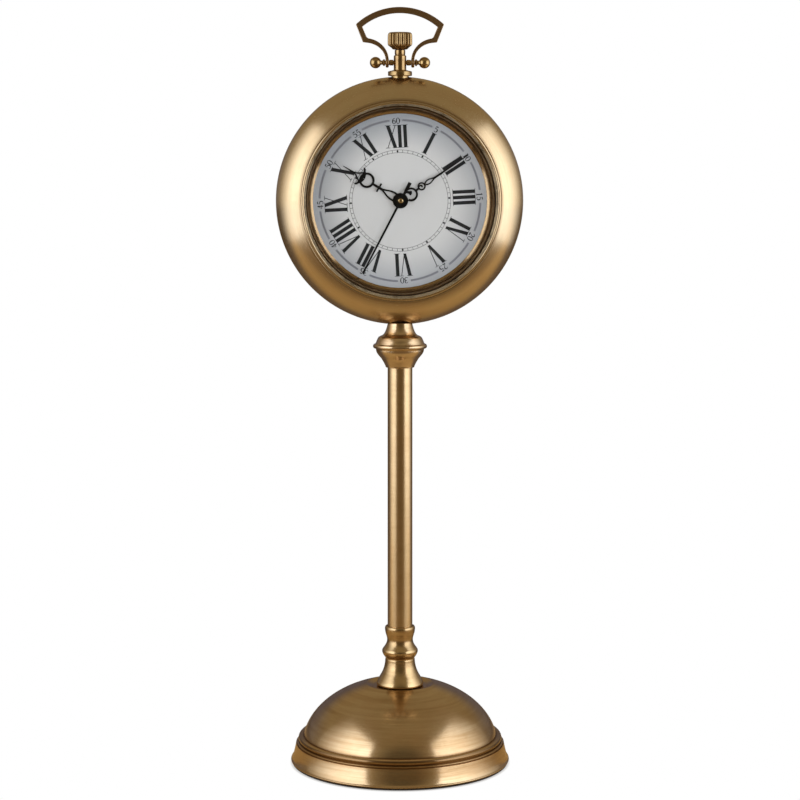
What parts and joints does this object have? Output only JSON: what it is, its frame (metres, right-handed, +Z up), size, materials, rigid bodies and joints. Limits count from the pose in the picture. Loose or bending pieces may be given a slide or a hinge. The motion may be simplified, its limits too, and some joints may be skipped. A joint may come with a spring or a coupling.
{
  "type": "pedestal clock",
  "caption": "Round table-top quartz clock in antique brass on a turned pillar and domed foot, with a pocket-watch crown and a swinging bow.",
  "frame": {"origin": "centre of the felt pad's underside, on the ground, under the pillar's axis", "axes": "+Z up along the pillar, the dial faces -Y, +X to the right when the dial is read"},
  "size_m": [0.18, 0.158, 0.5465],
  "materials": {
    "antique_brass": "satin lacquered antique brass, finely brushed round its turning axis",
    "aged_brass": "darker aged brass, satin",
    "zinc_steel": "zinc-plated",
    "cast_iron": "rough cast",
    "dark_felt": "dense felt",
    "clear_glass": "flat mineral glass",
    "black_rubber": "matt",
    "silver_dial": "fine satin silver, darker and bluer towards the rim",
    "black_enamel": "black satin paint",
    "black_plastic": "moulded, fine texture",
    "white_plastic": "acetal, smooth",
    "circuit_green": "solder resist",
    "copper_wire": "enamelled copper winding",
    "bonded_ferrite": "plastic-bonded ferrite",
    "battery_jacket": "printed film jacket with no marks"
  },
  "bodies": {
    "clock": {"felt_pad": "dark_felt", "base_shell": "antique_brass", "base_weight": "cast_iron", "tie_rod": "zinc_steel", "tie_rod_washer": "zinc_steel", "tie_rod_nut": "zinc_steel", "lower_collar": "antique_brass", "pillar_tube": "antique_brass", "upper_ferrule": "antique_brass", "case_washer": "zinc_steel", "case_nut": "zinc_steel", "front_shell": "antique_brass", "rear_shell": "antique_brass", "lens": "clear_glass", "lens_gasket": "black_rubber", "bezel_ring": "antique_brass", "dial_plate": "silver_dial", "dial_support": "zinc_steel", "rear_cover": "antique_brass", "cover_screw_1": "zinc_steel", "cover_screw_2": "zinc_steel", "cover_screw_3": "zinc_steel", "cover_screw_4": "zinc_steel", "pendant": "antique_brass", "pendant_nut": "zinc_steel", "crown_stem": "zinc_steel", "crown": "antique_brass", "bow_screw_left": "antique_brass", "bow_screw_right": "antique_brass", "movement_front_housing": "black_plastic", "movement_rear_housing": "black_plastic", "bush_washer": "black_rubber", "bush_nut": "antique_brass", "circuit_board": "circuit_green", "control_chip": "black_plastic", "quartz_crystal": "zinc_steel", "stator": "zinc_steel", "coil": "copper_wire", "contact_negative": "zinc_steel", "contact_positive": "zinc_steel"},
    "bow": {"bow": "aged_brass"},
    "second_hand": {"second_wheel": "white_plastic", "second_hand": "black_enamel", "second_hand_bush": "antique_brass"},
    "third_wheel": {"third_wheel": "white_plastic"},
    "centre_wheel": {"centre_wheel": "antique_brass"},
    "intermediate_wheel": {"intermediate_wheel": "white_plastic"},
    "rotor": {"rotor": "bonded_ferrite"},
    "minute_hand": {"cannon_pinion": "antique_brass", "minute_hand": "black_enamel", "minute_hand_nut": "antique_brass"},
    "minute_wheel": {"minute_wheel": "white_plastic"},
    "hour_hand": {"hour_wheel": "white_plastic", "hour_hand": "black_enamel"},
    "setting_knob": {"setting_knob": "black_plastic"},
    "battery": {"battery": "battery_jacket"}
  },
  "joints": [
    {"name": "bow_swing", "type": "hinge", "parent": "clock", "child": "bow", "pos_m": [0, 0, 0.5061], "axis": [1, 0, 0], "range_deg": [-130, 134]},
    {"name": "second_hand_turn", "type": "hinge", "parent": "clock", "child": "second_hand", "pos_m": [0, 0, 0.406], "axis": [0, 1, 0], "continuous": true},
    {"name": "rotor_turn", "type": "hinge", "parent": "clock", "child": "rotor", "pos_m": [-0.01552, 0, 0.40717], "axis": [0, 1, 0], "continuous": true},
    {"name": "intermediate_wheel_turn", "type": "hinge", "parent": "clock", "child": "intermediate_wheel", "pos_m": [-0.00832, 0, 0.40717], "axis": [0, 1, 0], "continuous": true},
    {"name": "third_wheel_turn", "type": "hinge", "parent": "clock", "child": "third_wheel", "pos_m": [0.0102, 0, 0.406], "axis": [0, 1, 0], "continuous": true},
    {"name": "centre_wheel_turn", "type": "hinge", "parent": "clock", "child": "centre_wheel", "pos_m": [0, 0, 0.406], "axis": [0, 1, 0], "continuous": true},
    {"name": "minute_hand_turn", "type": "hinge", "parent": "clock", "child": "minute_hand", "pos_m": [0, 0, 0.406], "axis": [0, 1, 0], "continuous": true},
    {"name": "minute_wheel_turn", "type": "hinge", "parent": "clock", "child": "minute_wheel", "pos_m": [0, 0, 0.414], "axis": [0, 1, 0], "continuous": true},
    {"name": "hour_hand_turn", "type": "hinge", "parent": "clock", "child": "hour_hand", "pos_m": [0, 0, 0.406], "axis": [0, 1, 0], "continuous": true},
    {"name": "setting_knob_turn", "type": "hinge", "parent": "clock", "child": "setting_knob", "pos_m": [0, 0, 0.423], "axis": [0, 1, 0], "continuous": true},
    {"name": "battery_slide", "type": "slide", "parent": "clock", "child": "battery", "axis": [0, 1, 0], "range_m": [0, 0.03]}
  ],
  "couplings": [
    {"joint": "rotor_turn", "follows": "second_hand_turn", "ratio": 30},
    {"joint": "intermediate_wheel_turn", "follows": "second_hand_turn", "ratio": -6},
    {"joint": "third_wheel_turn", "follows": "second_hand_turn", "ratio": -0.13333},
    {"joint": "centre_wheel_turn", "follows": "second_hand_turn", "ratio": 0.016667},
    {"joint": "minute_wheel_turn", "follows": "minute_hand_turn", "ratio": -0.33333},
    {"joint": "hour_hand_turn", "follows": "minute_hand_turn", "ratio": 0.083333},
    {"joint": "setting_knob_turn", "follows": "minute_hand_turn", "ratio": 0.66667}
  ]
}
